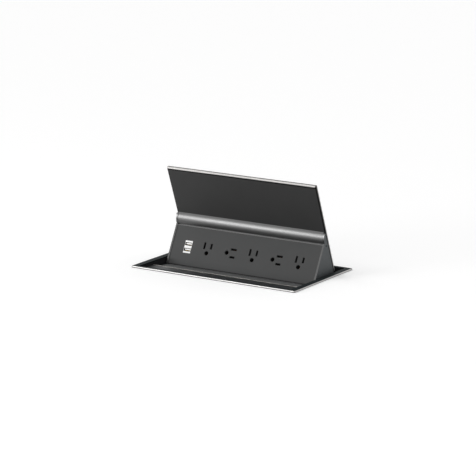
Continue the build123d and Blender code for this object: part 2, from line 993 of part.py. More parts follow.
def save_sockets():
    half = blade_spacing / 2
    indexes = range(outlet_count)
    for index in indexes:
        save(f"receptacle_{index + 1}", make_receptacle(index), shut=True)
    hot = [blade_contact(index, half, hot_slot) for index in indexes]
    neutral = [blade_contact(index, -half, neutral_slot) for index in indexes]
    save("hot_contacts", group(hot), shut=True)
    save("neutral_contacts", group(neutral), shut=True)
    save("ground_contacts", group(ground_contact(index) for index in indexes), shut=True)
    save("usb_insert", make_usb_insert(), shut=True)
    save("usb_shells", make_usb_shells(), shut=True)
    save("usb_tongues", make_usb_tongues(), shut=True)
    save("usb_board", make_usb_board(), shut=True)
    save("terminal_block", make_terminal_block(), shut=True)
    save("terminal_screws", make_terminal_screws(), shut=True)


os.makedirs("parts", exist_ok=True)
save_housing()
save_flip()
save_sockets()
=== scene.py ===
"""Desk power unit, opened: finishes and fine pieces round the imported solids, and the studio.

Metres, +Z up, -Y towards the user. The origin is the centre of the desk cut-out, level with the
top of the desk.
"""
from __future__ import annotations

import logging
import math
from dataclasses import dataclass, field, replace
from enum import Enum
from typing import Any, Callable, Iterable, Optional, Sequence

import bmesh
import bpy
from mathutils import Matrix, Vector

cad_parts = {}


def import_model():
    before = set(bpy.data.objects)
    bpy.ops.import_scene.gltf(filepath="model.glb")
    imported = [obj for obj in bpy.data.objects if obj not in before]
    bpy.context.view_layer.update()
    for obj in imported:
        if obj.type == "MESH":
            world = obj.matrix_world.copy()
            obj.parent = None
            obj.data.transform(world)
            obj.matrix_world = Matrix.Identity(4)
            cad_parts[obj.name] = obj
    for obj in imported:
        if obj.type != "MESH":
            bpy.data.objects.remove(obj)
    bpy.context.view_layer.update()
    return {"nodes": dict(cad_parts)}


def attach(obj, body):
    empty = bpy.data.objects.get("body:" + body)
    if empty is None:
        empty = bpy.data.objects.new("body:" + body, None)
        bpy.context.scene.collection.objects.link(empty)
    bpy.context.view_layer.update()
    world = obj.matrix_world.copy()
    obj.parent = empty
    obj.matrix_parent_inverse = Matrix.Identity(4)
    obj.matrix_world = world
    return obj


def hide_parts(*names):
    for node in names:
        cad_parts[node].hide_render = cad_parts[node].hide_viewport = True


log = logging.getLogger("desk_power_unit")

Node = bpy.types.Node
Piece = bpy.types.Object
Socket = bpy.types.NodeSocket
Tree = bpy.types.NodeTree
Inputs = dict[Any, Any]
Pair = tuple[float, float]
Triple = tuple[float, float, float]

MM = 0.001
SIDES = (-1, 1)
SHARP_ANGLE = math.radians(32.0)
QUARTER_TURN = math.radians(90.0)
ROUNDING_STEPS = 3
FACING_ALONG = 0.9  # the least share of a unit normal that counts as along an axis
WHITE = (1.0, 1.0, 1.0, 1.0)

# Socket numbers of the Mix node, whose sockets share their names.
MIX_SHARE = 0
MIX_FLOATS = (2, 3)
MIX_COLOURS = (6, 7)
MIXED_COLOUR = 2


class Body(Enum):
    """The bodies that pieces ride on."""

    HOUSING = "housing"
    FLIP = "flip_unit"
    JACK_LEFT = "jack_left"
    JACK_RIGHT = "jack_right"


class Drive(Enum):
    """The recess in a screw's head, by the number of sides of its cutter."""

    HEX = 6
    SLOT = 4


class Mask(Enum):
    """Where a coated part turns to lighter metal, a painted highlight along its edges."""

    RIM = "rim"
    EDGES = "edges"


def linear(code: str) -> tuple[float, float, float, float]:
    """Turns an sRGB hex colour into the linear colour that a socket takes.

    Args:
        code: six hex digits after a hash sign.

    Returns:
        Red, green, blue and alpha.
    """
    # The numbers are those of the sRGB standard.
    parts = [int(code[i:i + 2], 16) / 255 for i in (1, 3, 5)]
    values = [c / 12.92 if c <= 0.04045 else ((c + 0.055) / 1.055) ** 2.4 for c in parts]
    return values[0], values[1], values[2], 1.0


def add_node(tree: Tree, kind: str, inputs: Optional[Inputs] = None, **settings: Any) -> Node:
    """Adds a node with its settings, its values and its links.

    Args:
        tree: the node tree.
        kind: the node's type name without its ShaderNode prefix.
        inputs: a value, or another node's output, for each input name or number.
        **settings: attributes of the node.

    Returns:
        The new node.
    """
    node = tree.nodes.new("ShaderNode" + kind)
    for name, value in settings.items():
        setattr(node, name, value)
    for key, value in (inputs or {}).items():
        if isinstance(value, Socket):
            tree.links.new(value, node.inputs[key])
        else:
            node.inputs[key].default_value = value
    return node


@dataclass(frozen=True)
class Swing:
    """The turn that opens the lid, so that pieces can be modelled with the unit shut."""

    angle: float = math.radians(69.0)
    centre: Triple = (0.0, 67.6 * MM, 20.5511 * MM)

    def opened(self) -> Matrix:
        """The move that opens the unit.

        Returns:
            The matrix that takes a piece from shut to open.
        """
        centre = Vector(self.centre)
        turn = Matrix.Rotation(-self.angle, 4, "X")
        return Matrix.Translation(centre) @ turn @ Matrix.Translation(-centre)

    def shut_offset(self) -> Vector:
        """The shift that goes with the turn back from open to shut."""
        centre = Vector(self.centre)
        return centre - Matrix.Rotation(self.angle, 3, "X") @ centre


SWING = Swing()


# Finishes


@dataclass(frozen=True)
class Surface:
    """A material being made: its nodes, its shader and the coordinates that its patterns read."""

    tree: Tree
    shader: Node
    place: Socket

    def add(self, kind: str, inputs: Optional[Inputs] = None, **settings: Any) -> Node:
        """Adds a node to the material. See add_node."""
        return add_node(self.tree, kind, inputs, **settings)

    def mix_tone(self, share: Socket, first: Any, second: Any) -> None:
        """Mixes two colours into the base colour.

        Args:
            share: how much of the second colour shows, from 0 to 1.
            first: linear colour, or another node's output.
            second: linear colour.
        """
        inputs = {MIX_SHARE: share, MIX_COLOURS[0]: first, MIX_COLOURS[1]: second}
        mixed = self.add("Mix", inputs, data_type="RGBA")
        self.tree.links.new(mixed.outputs[MIXED_COLOUR], self.shader.inputs["Base Color"])

    def vary_gloss(self, pattern: Socket, smooth: float, rough: float) -> None:
        """Lets a pattern vary the roughness.

        Args:
            pattern: runs from 0 to 1.
            smooth: the roughness at 0.
            rough: the roughness at 1.
        """
        gloss = self.add("MapRange", {"Value": pattern, "To Min": smooth, "To Max": rough})
        self.tree.links.new(gloss.outputs[0], self.shader.inputs["Roughness"])

    def raise_bump(self, height: Socket, strength: float, depth_mm: float) -> None:
        """Lets a pattern tilt the light as relief would.

        Args:
            height: the pattern.
            strength: how much of the relief shows.
            depth_mm: how deep it is.
        """
        inputs = {"Height": height, "Strength": strength, "Distance": depth_mm * MM}
        bump = self.add("Bump", inputs)
        self.tree.links.new(bump.outputs[0], self.shader.inputs["Normal"])


@dataclass(frozen=True)
class Finish:
    """A real surface: its common name, how it was made and what that gives the eye."""

    name: str
    colour: str
    roughness: float
    swung: bool = False
    specular: float = 0.5

    def material(self) -> bpy.types.Material:
        """Makes the material, unless it is there already.

        Returns:
            The material.
        """
        found = bpy.data.materials.get(self.name)
        if found:
            return found
        made = bpy.data.materials.new(self.name)
        made.use_nodes = True
        tree = made.node_tree
        tree.nodes.clear()
        inputs = {"Roughness": self.roughness, "Specular IOR Level": self.specular}
        shader = add_node(tree, "BsdfPrincipled", inputs)
        shader.inputs["Base Color"].default_value = linear(self.colour)
        add_node(tree, "OutputMaterial", {"Surface": shader.outputs[0]})
        self.dress(Surface(tree, shader, self.place(tree)))
        return made

    def place(self, tree: Tree) -> Socket:
        """Object coordinates, turned back to the shut unit for what swings.

        Args:
            tree: the material's node tree.

        Returns:
            The coordinate output.
        """
        coordinates = add_node(tree, "TexCoord").outputs["Object"]
        if not self.swung:
            return coordinates
        turn = (SWING.angle, 0.0, 0.0)
        inputs = {"Vector": coordinates, "Location": SWING.shut_offset(), "Rotation": turn}
        return add_node(tree, "Mapping", inputs).outputs[0]

    def dress(self, surface: Surface) -> None:
        """Adds the pattern; each kind of finish has its own.

        Args:
            surface: the material being made.
        """
        raise NotImplementedError


@dataclass(frozen=True)
class PowderCoat(Finish):
    """Baked paint on metal: a fine orange peel that breaks up the gloss, faintly uneven in tone."""

    shade: str = "#000000"
    cloud_mm: float = 45.0
    cloud_detail: float = 3.0
    peel_mm: float = 0.9
    peel_detail: float = 2.0
    peel_depth_mm: float = 0.02
    peel_strength: float = 0.5
    gloss_below: float = 0.05
    gloss_above: float = 0.07

    def dress(self, surface: Surface) -> None:
        """Clouds the tone, and puts the peel in the bump and the gloss.

        Args:
            surface: the material being made.
        """
        scale = 1 / (self.cloud_mm * MM)
        inputs = {"Vector": surface.place, "Scale": scale, "Detail": self.cloud_detail}
        cloud = surface.add("TexNoise", inputs).outputs[0]
        surface.mix_tone(cloud, linear(self.colour), linear(self.shade))
        scale = 1 / (self.peel_mm * MM)
        inputs = {"Vector": surface.place, "Scale": scale, "Detail": self.peel_detail}
        peel = surface.add("TexNoise", inputs).outputs[0]
        smooth, rough = self.roughness - self.gloss_below, self.roughness + self.gloss_above
        surface.vary_gloss(peel, smooth, rough)
        surface.raise_bump(peel, self.peel_strength, self.peel_depth_mm)


@dataclass(frozen=True)
class BrushedMetal(Finish):
    """Metal drawn or brushed along X: long fine lines that stretch each highlight across them."""

    # Real brush lines are about 0.05 mm apart. That is too fine to show, so they are drawn coarser.
    line: str = "#000000"
    line_mm: float = 0.35
    length_mm: float = 60.0
    line_detail: float = 4.0
    depth_mm: float = 0.008
    line_strength: float = 0.4
    gloss_spread: float = 0.08
    metal: float = 1.0

    def dress(self, surface: Surface) -> None:
        """Stretches noise into brush lines for the tone, the gloss and the bump.

        Args:
            surface: the material being made.
        """
        surface.shader.inputs["Metallic"].default_value = self.metal
        scale = (self.line_mm / self.length_mm, 1.0, 1.0)
        along = surface.add("Mapping", {"Vector": surface.place, "Scale": scale}).outputs[0]
        inputs = {"Vector": along, "Scale": 1 / (self.line_mm * MM), "Detail": self.line_detail}
        lines = surface.add("TexNoise", inputs).outputs[0]
        surface.mix_tone(lines, linear(self.colour), linear(self.line))
        smooth, rough = self.roughness - self.gloss_spread, self.roughness + self.gloss_spread
        surface.vary_gloss(lines, smooth, rough)
        surface.raise_bump(lines, self.line_strength, self.depth_mm)


@dataclass(frozen=True)
class PaintedHighlightEdgeCoat(PowderCoat):
    """Coated metal with a lighter metallic rim, partly an unpainted machined edge and partly a
    painted highlight, which draws a bright line round it.
    """

    # The lighter tone painted on the rim as a highlight.
    painted_highlight: str = "#c8c4c0"
    mask: Mask = Mask.RIM
    half_size: Pair = (0.1, 0.1)
    rim_mm: float = 0.8
    rim_blur_mm: float = 0.15
    edge_normal: float = 0.6
    face_normal: float = 0.75
    highlight_roughness: float = 0.3

    def cut(self, surface: Surface) -> Socket:
        """How much of the lighter rim shows, from 0 on the coat to 1 on the painted highlight.

        Args:
            surface: the material being made.

        Returns:
            The mask's output.
        """
        if self.mask is Mask.EDGES:
            facing_way = surface.add("TexCoord").outputs["Normal"]
            across = surface.add("SeparateXYZ", {0: facing_way}).outputs[0]
            flat = surface.add("Math", {0: across}, operation="ABSOLUTE").outputs[0]
            return self.fade(surface, flat, self.edge_normal, self.face_normal)
        axes = surface.add("SeparateXYZ", {0: surface.place})
        inward = []
        for axis, half in enumerate(self.half_size):
            size = surface.add("Math", {0: axes.outputs[axis]}, operation="ABSOLUTE").outputs[0]
            inward.append(surface.add("Math", {0: half, 1: size}, operation="SUBTRACT").outputs[0])
        nearest = surface.add("Math", dict(enumerate(inward)), operation="MINIMUM").outputs[0]
        return self.fade(surface, nearest, self.rim_mm * MM, (self.rim_mm + self.rim_blur_mm) * MM)

    def fade(self, surface: Surface, value: Socket, highlight_at: float, coated_at: float) -> Socket:
        """Turns a value into the mask.

        Args:
            surface: the material being made.
            value: what decides.
            highlight_at: its value where the painted highlight starts to show.
            coated_at: its value where the coat is whole.

        Returns:
            The mask's output.
        """
        inputs = {"Value": value, "From Min": highlight_at, "From Max": coated_at}
        inputs.update({"To Min": 1.0, "To Max": 0.0})
        return surface.add("MapRange", inputs).outputs[0]

    def dress(self, surface: Surface) -> None:
        """Coats the part, then paints its rim lighter and metallic as a highlight.

        Args:
            surface: the material being made.
        """
        super().dress(surface)
        cut = self.cut(surface)
        inputs = surface.shader.inputs
        coat, gloss = (inputs[name].links[0].from_socket for name in ("Base Color", "Roughness"))
        # The rim's lighter metallic tone is a painted highlight.
        surface.mix_tone(cut, coat, linear(self.painted_highlight))
        floats = {MIX_SHARE: cut, MIX_FLOATS[0]: gloss, MIX_FLOATS[1]: self.highlight_roughness}
        rough = surface.add("Mix", floats, data_type="FLOAT")
        surface.tree.links.new(rough.outputs[0], inputs["Roughness"])
        surface.tree.links.new(cut, inputs["Metallic"])


@dataclass(frozen=True)
class MouldedPlastic(Finish):
    """Moulded plastic or rubber: an even grain from the tool, with soft gloss between its pits."""

    # Real tool grain is about 0.1 mm wide. That is too fine to show, so it is drawn coarser.
    grain: str = "#000000"
    grain_mm: float = 0.5
    depth_mm: float = 0.015
    grain_strength: float = 0.4

    def dress(self, surface: Surface) -> None:
        """Puts the tool's grain in the tone and the bump.

        Args:
            surface: the material being made.
        """
        inputs = {"Vector": surface.place, "Scale": 1 / (self.grain_mm * MM)}
        grain = surface.add("TexVoronoi", inputs, feature="F1").outputs["Distance"]
        surface.mix_tone(grain, linear(self.colour), linear(self.grain))
        surface.raise_bump(grain, self.grain_strength, self.depth_mm)


@dataclass(frozen=True)
class Foam(Finish):
    """Closed cell foam, skived from a block: open pits of uneven size, no gloss at all."""

    pit: str = "#000000"
    cell_mm: float = 0.8
    pit_depth_mm: float = 0.12
    pit_strength: float = 0.8

    def dress(self, surface: Surface) -> None:
        """Pits the surface with cells.

        Args:
            surface: the material being made.
        """
        inputs = {"Vector": surface.place, "Scale": 1 / (self.cell_mm * MM), "Randomness": 1.0}
        cells = surface.add("TexVoronoi", inputs, feature="SMOOTH_F1").outputs["Distance"]
        surface.mix_tone(cells, linear(self.pit), linear(self.colour))
        surface.raise_bump(cells, self.pit_strength, self.pit_depth_mm)


@dataclass(frozen=True)
class PlatedSteel(Finish):
    """Plated or blackened metal: faint cloudy patches where the crystals of the layer differ."""

    patch: str = "#000000"
    patch_mm: float = 4.0
    gloss_below: float = 0.05
    gloss_above: float = 0.06

    def dress(self, surface: Surface) -> None:
        """Varies tone and gloss from patch to patch.

        Args:
            surface: the material being made.
        """
        surface.shader.inputs["Metallic"].default_value = 1.0
        inputs = {"Vector": surface.place, "Scale": 1 / (self.patch_mm * MM)}
        patches = surface.add("TexVoronoi", inputs, feature="F1").outputs["Color"]
        split = surface.add("SeparateXYZ", {0: patches}).outputs
        surface.mix_tone(split[0], linear(self.colour), linear(self.patch))
        smooth, rough = self.roughness - self.gloss_below, self.roughness + self.gloss_above
        surface.vary_gloss(split[1], smooth, rough)


# Satin dark grey coat on cast aluminium; its light metallic rim, partly an unpainted machined edge
# and partly a painted highlight, draws the bright line round the frame.
FRAME_COAT = PaintedHighlightEdgeCoat(
    "powder_coated_frame_highlight_rim", "#1d2123", 0.6, shade="#232829", specular=0.06, painted_highlight="#a3a2a1",
    half_size=(152.5 * MM, 88.0 * MM), rim_mm=0.9,
)
# Skived foam strip, dead matt black, seen only as a shadow line under the flange.
SEAL_FOAM = Foam("closed_cell_foam_seal", "#1c1c1c", 0.95, pit="#0a0a0a")
# Moulded side plates, whose grain keeps them dull in the dark of the tub.
SIDE_PLASTIC = MouldedPlastic("moulded_black_side_plate", "#151517", 0.5, grain="#1d1d20")
# Black coated steel sheet of walls and floor, slightly peeled.
TUB_STEEL = PowderCoat("powder_coated_tub_sheet", "#161719", 0.45, shade="#1d1e21")
# Dark shelf behind the front flange, smoother than the plates.
SHELF_COAT = PowderCoat("powder_coated_shelf", "#181b1d", 0.45, shade="#1e2123", peel_mm=0.7)
# Light aluminium nosing on the shelf's rear edge, a painted highlight: the thin light line of the
# lit edge in front of the rail.
NOSING_HIGHLIGHT_METAL = BrushedMetal("drawn_aluminium_highlight_nosing", "#96948f", 0.3, line="#8a8884")
# Soft black rubber feet with a fine moulded grain.
BUMPER_RUBBER = MouldedPlastic(
    "moulded_rubber_bumper", "#121212", 0.75, grain="#1a1a1a", grain_mm=0.3
)
# Zinc plated screws with a bright, nearly even tone.
SCREW_STEEL = PlatedSteel("zinc_plated_screw", "#b9babc", 0.3, patch="#a9abae", patch_mm=1.5)
# Zinc plated bent sheet with its cloudy patches.
BRACKET_ZINC = PlatedSteel("zinc_plated_bracket", "#a6a9ac", 0.38, patch="#8f9396")
# Black nylon with a dull gloss.
GLAND_NYLON = MouldedPlastic("moulded_nylon_gland", "#141415", 0.42, grain="#1c1c1e", grain_mm=0.4)
# Charcoal skin of the lid; its rim is painted lighter and metallic, a painted highlight that draws
# the light line down the lid's side.
LID_COAT = PaintedHighlightEdgeCoat(
    "powder_coated_lid_highlight_rim", "#35393b", 0.42, swung=True, shade="#3d4143", painted_highlight="#737271",
    half_size=(139.3 * MM, 79.8 * MM), rim_mm=1.3,
)
# Satin drawn aluminium along the lid's tip, light partly by its own tone and partly as a painted
# highlight of the lit top edge, the light band over the dark liner.
TRIM_HIGHLIGHT_METAL = BrushedMetal("drawn_aluminium_lid_trim_highlight", "#cfcdcb", 0.3, swung=True, line="#c2c0be")
# Charcoal inner skin, the even dark field of the open lid.
LINER_COAT = PowderCoat(
    "powder_coated_lid_liner", "#2a2a2a", 0.55, swung=True, specular=0.2, shade="#2f2f2f"
)
# Satin anodised extrusion, drawn along its length, so the highlight runs along the bead.
RIDGE_METAL = BrushedMetal("anodised_aluminium_ridge", "#5c5c5c", 0.36, swung=True, line="#545454")
# Graphite coat on the outlet panel, the mid grey of the photograph.
FASCIA_COAT = PowderCoat(
    "powder_coated_fascia", "#393a3a", 0.5, swung=True, specular=0.2, shade="#3f3f3f"
)
# Darker anodised extrusion with soft reflections along it.
RAIL_METAL = BrushedMetal(
    "hard_anodised_aluminium_rail", "#6c6d6e", 0.3, swung=True, line="#636464", length_mm=90.0,
    metal=0.1,
)
# Black coated sheet at the back of the wedge.
COVER_STEEL = PowderCoat("powder_coated_cover", "#1c1e20", 0.48, swung=True, shade="#232527")
# Graphite coat on the ends; the faces that do not face along X are painted lighter and metallic, a
# painted highlight along the edges.
END_PLATE_COAT = PaintedHighlightEdgeCoat(
    "powder_coated_end_plate_highlight_edge", "#404446", 0.45, swung=True, specular=0.3, shade="#484c4e",
    painted_highlight="#535353", mask=Mask.EDGES,
)
# Black oxidised screws that sink into the end plates.
END_SCREW_STEEL = PlatedSteel("black_oxide_screw", "#3c3e40", 0.35, patch="#34363a", patch_mm=1.5)
# Ground steel pins, almost a mirror, with fine turning lines.
PIN_STEEL = BrushedMetal("ground_steel_pin", "#a4a5a7", 0.22, line="#98999b", line_mm=0.2)
# Natural acetal, milky white with a waxy gloss.
BUSH_ACETAL = MouldedPlastic("turned_acetal_bush", "#dcdcd4", 0.35, grain="#e6e6de", grain_mm=0.6)
# Black receptacle bodies, matt, so the slots stay dark.
SOCKET_PLASTIC = MouldedPlastic(
    "moulded_black_receptacle", "#0b0b0c", 0.6, specular=0.3, grain="#101011"
)
# Stamped brass, warm yellow with drawing lines.
CONTACT_BRASS = BrushedMetal("stamped_brass_contact", "#b99548", 0.3, line="#a98539", line_mm=0.25)
# Glossy white port surround.
USB_PLASTIC = MouldedPlastic("moulded_white_port_surround", "#e4e4e4", 0.35, grain="#ececec")
# Nickel plated shells, bright and smooth.
USB_METAL = PlatedSteel("nickel_plated_shell", "#c2c0bb", 0.2, patch="#b7b5b0", patch_mm=2.0)
# White tongue inside each port.
TONGUE_PLASTIC = MouldedPlastic(
    "moulded_white_tongue", "#e8e8e8", 0.4, grain="#f0f0f0", grain_mm=0.3
)
# Green solder mask over woven glass laminate.
BOARD_LAMINATE = MouldedPlastic(
    "glass_laminate_board", "#1d5a34", 0.3, grain="#22653b", grain_mm=0.7
)
# Light grey polyamide block.
TERMINAL_PLASTIC = MouldedPlastic("moulded_polyamide_terminal", "#b9b9b2", 0.45, grain="#c4c4bd")
# Matt black rubber strip, a painted shadow: it draws the dark shadow line round the liner and
# beside the tip trim.
SHADOW_SEAL_RUBBER = MouldedPlastic(
    "extruded_rubber_shadow_seal", "#0b0b0c", 0.8, specular=0.15, grain="#111112", grain_mm=0.35
)
# The same black rubber with a duller face, sunk in its groove, a painted shade that darkens the
# groove's line.
FOOT_SHADOW_RUBBER = MouldedPlastic(
    "extruded_rubber_shadow_strip", "#0c0c0d", 0.8, grain="#131314", grain_mm=0.35
)
# Gold plated contact springs.
CONTACT_GOLD = BrushedMetal("gold_plated_contact", "#d9b45c", 0.25, line="#cfa94f", line_mm=0.15)


NODE_FINISHES: dict[str, Finish] = {
    "bezel_frame": FRAME_COAT,
    "frame_gasket": SEAL_FOAM,
    "side_plate_left": SIDE_PLASTIC,
    "side_plate_right": SIDE_PLASTIC,
    "front_wall": TUB_STEEL,
    "rear_wall": TUB_STEEL,
    "floor_tray": TUB_STEEL,
    "tray_angles": TUB_STEEL,
    "front_shelf": SHELF_COAT,
    "lid_bumpers": BUMPER_RUBBER,
    "mounting_bracket_left": BRACKET_ZINC,
    "mounting_bracket_right": BRACKET_ZINC,
    "cable_gland": GLAND_NYLON,
    "gland_nut": GLAND_NYLON,
    "lid_panel": LID_COAT,
    "lid_liner": LINER_COAT,
    "ridge_bar": RIDGE_METAL,
    "fascia_plate": FASCIA_COAT,
    "lower_rail": RAIL_METAL,
    "rear_cover": COVER_STEEL,
    "end_plate_left": END_PLATE_COAT,
    "end_plate_right": END_PLATE_COAT,
    "guide_pins_left": PIN_STEEL,
    "guide_pins_right": PIN_STEEL,
    "guide_bushes_left": BUSH_ACETAL,
    "guide_bushes_right": BUSH_ACETAL,
    **{f"receptacle_{number}": SOCKET_PLASTIC for number in range(1, 6)},
    "hot_contacts": CONTACT_BRASS,
    "neutral_contacts": CONTACT_BRASS,
    "ground_contacts": CONTACT_BRASS,
    "usb_insert": USB_PLASTIC,
    "usb_shells": USB_METAL,
    "usb_tongues": TONGUE_PLASTIC,
    "usb_board": BOARD_LAMINATE,
    "terminal_block": TERMINAL_PLASTIC,
}


# Modelling by hand


def start(add: Callable[..., Any], name: str, **sizes: Any) -> Piece:
    """Adds a primitive with nothing else selected.

    Args:
        add: the operator that adds it.
        name: the object's name.
        **sizes: the operator's settings.

    Returns:
        The new object, active and alone selected.
    """
    bpy.ops.object.select_all(action="DESELECT")
    add(**sizes)
    made = bpy.context.object
    made.name = name
    made.data.name = name
    return made


def edit(piece: Piece, kind: str = "FACE") -> None:
    """Opens a piece in edit mode with nothing selected.

    Args:
        piece: the piece to shape.
        kind: what is selected next, FACE, EDGE or VERT.
    """
    bpy.ops.object.select_all(action="DESELECT")
    piece.select_set(True)
    bpy.context.view_layer.objects.active = piece
    bpy.ops.object.mode_set(mode="EDIT")
    bpy.ops.mesh.select_mode(type=kind)
    bpy.ops.mesh.select_all(action="DESELECT")


def pick_faces(piece: Piece, test: Callable[[Vector, Vector], bool]) -> None:
    """Selects the faces that pass a test, in edit mode, and no others.

    Args:
        piece: the piece being edited.
        test: takes a face's centre and its normal.
    """
    shape = bmesh.from_edit_mesh(piece.data)
    shape.normal_update()
    for face in shape.faces:
        face.select_set(bool(test(face.calc_center_median(), face.normal)))
    shape.select_flush_mode()
    bmesh.update_edit_mesh(piece.data)


def pick_edges(piece: Piece, test: Callable[[Vector, Vector], bool]) -> None:
    """Selects the edges that pass a test, in edit mode, and no others.

    Args:
        piece: the piece being edited.
        test: takes an edge's two ends.
    """
    shape = bmesh.from_edit_mesh(piece.data)
    for edge in shape.edges:
        edge.select_set(bool(test(edge.verts[0].co, edge.verts[1].co)))
    shape.select_flush_mode()
    bmesh.update_edit_mesh(piece.data)


def leave_edit() -> None:
    """Goes back to object mode."""
    bpy.ops.object.mode_set(mode="OBJECT")


def settle(piece: Piece, matrix: Optional[Matrix] = None) -> None:
    """Moves a piece by a matrix and bakes its place into its mesh.

    Args:
        piece: the piece.
        matrix: where it goes, or None to stay.
    """
    bpy.ops.object.select_all(action="DESELECT")
    piece.select_set(True)
    bpy.context.view_layer.objects.active = piece
    if matrix is not None:
        piece.matrix_world = matrix @ piece.matrix_world
    bpy.ops.object.transform_apply(location=True, rotation=True, scale=True)


def apply_modifier(piece: Piece, kind: str, **settings: Any) -> None:
    """Adds a modifier with its settings and applies it.

    Args:
        piece: the piece.
        kind: the modifier's type.
        **settings: its attributes.
    """
    bpy.ops.object.select_all(action="DESELECT")
    piece.select_set(True)
    bpy.context.view_layer.objects.active = piece
    modifier = piece.modifiers.new(kind.lower(), kind)
    for name, value in settings.items():
        setattr(modifier, name, value)
    bpy.ops.object.modifier_apply(modifier=modifier.name)


def copy_to(piece: Piece, matrices: Iterable[Matrix], name: str) -> Piece:
    """Copies a finished piece to several places and joins the copies into one object.

    Args:
        piece: the pattern, at the origin; it is removed afterwards.
        matrices: where each copy goes.
        name: the joined object's name.

    Returns:
        The joined object.
    """
    copies = []
    for matrix in matrices:
        copy = piece.copy()
        copy.data = piece.data.copy()
        bpy.context.scene.collection.objects.link(copy)
        copy.matrix_world = matrix
        copies.append(copy)
    remove(piece)
    bpy.context.view_layer.update()
    bpy.ops.object.select_all(action="DESELECT")
    for copy in copies:
        copy.select_set(True)
    bpy.context.view_layer.objects.active = copies[0]
    if len(copies) > 1:
        bpy.ops.object.join()
    joined = bpy.context.object
    joined.name = name
    joined.data.name = name
    settle(joined)
    return joined


def remove(piece: Piece) -> None:
    """Deletes an object and its mesh.

    Args:
        piece: the object.
    """
    mesh = piece.data
    bpy.data.objects.remove(piece)
    bpy.data.meshes.remove(mesh)


def finish_piece(
    piece: Piece,
    finish: Finish,
    body: Body,
    replaced: Sequence[str] = (),
) -> None:
    """Shades a piece, dresses it and hangs it on its body.

    Args:
        piece: the piece, in place.
        finish: its surface.
        body: what it moves with.
        replaced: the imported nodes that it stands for.
    """
    settle(piece)
    bpy.ops.object.shade_smooth_by_angle(angle=SHARP_ANGLE)
    piece.data.materials.clear()
    piece.data.materials.append(finish.material())
    if replaced:
        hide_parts(*replaced)
    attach(piece, body.value)
    log.info("%s: %d faces", piece.name, len(piece.data.polygons))


def extrude(shift: Sequence[float]) -> None:
    """Extrudes the selected faces by a shift."""
    bpy.ops.mesh.extrude_region_move(TRANSFORM_OT_translate={"value": shift})


def rounded_bar(name: str, low: Sequence[float], high: Sequence[float], rounding: float) -> Piece:
    """A bar along X whose long edges are rounded.

    Args:
        name: the object's name.
        low: its lowest corner.
        high: its highest corner.
        rounding: the radius of the long edges.

    Returns:
        The bar, settled.
    """
    low, high = Vector(low), Vector(high)
    bar = start(bpy.ops.mesh.primitive_cube_add, name, size=1.0, location=(low + high) / 2)
    bar.scale = high - low
    settle(bar)
    edit(bar, "EDGE")
    pick_edges(bar, lambda a, b: abs(a.x - b.x) > (high.x - low.x) / 2)
    bpy.ops.mesh.bevel(offset=rounding, segments=ROUNDING_STEPS, affect="EDGES")
    leave_edit()
    return bar


@dataclass(frozen=True)
class Screw:
    """A screw with its head's top at the origin and its shank down -Z."""

    head_radius: float
    head_height: float
    shank_radius: float
    shank_length: float
    drive: Drive = Drive.HEX
    drive_radius: float = 1.2 * MM
    drive_depth: float = 0.9 * MM
    sides: int = 28
    groove_count: int = 6
    root_share: float = 0.86
    edge_share: float = 0.25
    on_rim: float = 0.98
    on_top: float = 0.001 * MM
    slot_shape: Triple = (1.9, 0.35, 1.0)

    def model(self, name: str) -> Piece:
        """Models the head, its edge, its drive and the threaded shank.

        Args:
            name: the object's name.

        Returns:
            The screw.
        """
        screw = start(
            bpy.ops.mesh.primitive_cylinder_add,
            name,
            vertices=self.sides,
            radius=self.head_radius,
            depth=self.head_height,
            location=(0, 0, -self.head_height / 2),
        )
        settle(screw)
        edit(screw)
        if self.shank_length:
            self.cut_thread(screw)
        bpy.ops.mesh.select_mode(type="EDGE")
        rim = self.head_radius * self.on_rim
        pick_edges(
            screw,
            lambda a, b: min(a.z, b.z) > -self.on_top and min(a.xy.length, b.xy.length) > rim,
        )
        edge = self.head_height * self.edge_share
        bpy.ops.mesh.bevel(offset=edge, segments=ROUNDING_STEPS, affect="EDGES")
        leave_edit()
        self.cut_drive(screw)
        return screw

    def cut_thread(self, screw: Piece) -> None:
        """Draws the shank out of the head, ring by ring, with a blunt end.

        Args:
            screw: the screw, in edit mode.
        """
        pick_faces(screw, lambda centre, normal: normal.z < -FACING_ALONG)
        bpy.ops.mesh.inset(thickness=self.head_radius - self.shank_radius)
        step = self.shank_length / self.groove_count
        for _ in range(self.groove_count):
            for size in (self.root_share, 1 / self.root_share):
                extrude((0, 0, -step / 2))
                bpy.ops.transform.resize(value=(size, size, 1.0))
        bpy.ops.transform.resize(value=(self.root_share, self.root_share, 1.0))

    def cut_drive(self, screw: Piece) -> None:
        """Cuts the drive's recess out of the head.

        Args:
            screw: the screw to cut.
        """
        cutter = start(
            bpy.ops.mesh.primitive_cylinder_add,
            "drive_cutter",
            vertices=self.drive.value,
            radius=self.drive_radius,
            depth=2 * self.drive_depth,
        )
        if self.drive is Drive.SLOT:
            edit(cutter)
            bpy.ops.mesh.select_all(action="SELECT")
            bpy.ops.transform.rotate(
                value=QUARTER_TURN / 2, orient_axis="Z", center_override=(0.0, 0.0, 0.0)
            )
            bpy.ops.transform.resize(value=self.slot_shape)
            leave_edit()
        apply_modifier(screw, "BOOLEAN", operation="DIFFERENCE", object=cutter, solver="EXACT")
        remove(cutter)


def facing(direction: Sequence[float], place: Sequence[float]) -> Matrix:
    """Where a piece modelled along +Z goes.

    Args:
        direction: the way its +Z points.
        place: where its origin lies.

    Returns:
        The matrix.
    """
    turn = Vector((0, 0, 1)).rotation_difference(Vector(direction)).to_matrix().to_4x4()
    return Matrix.Translation(Vector(place)) @ turn


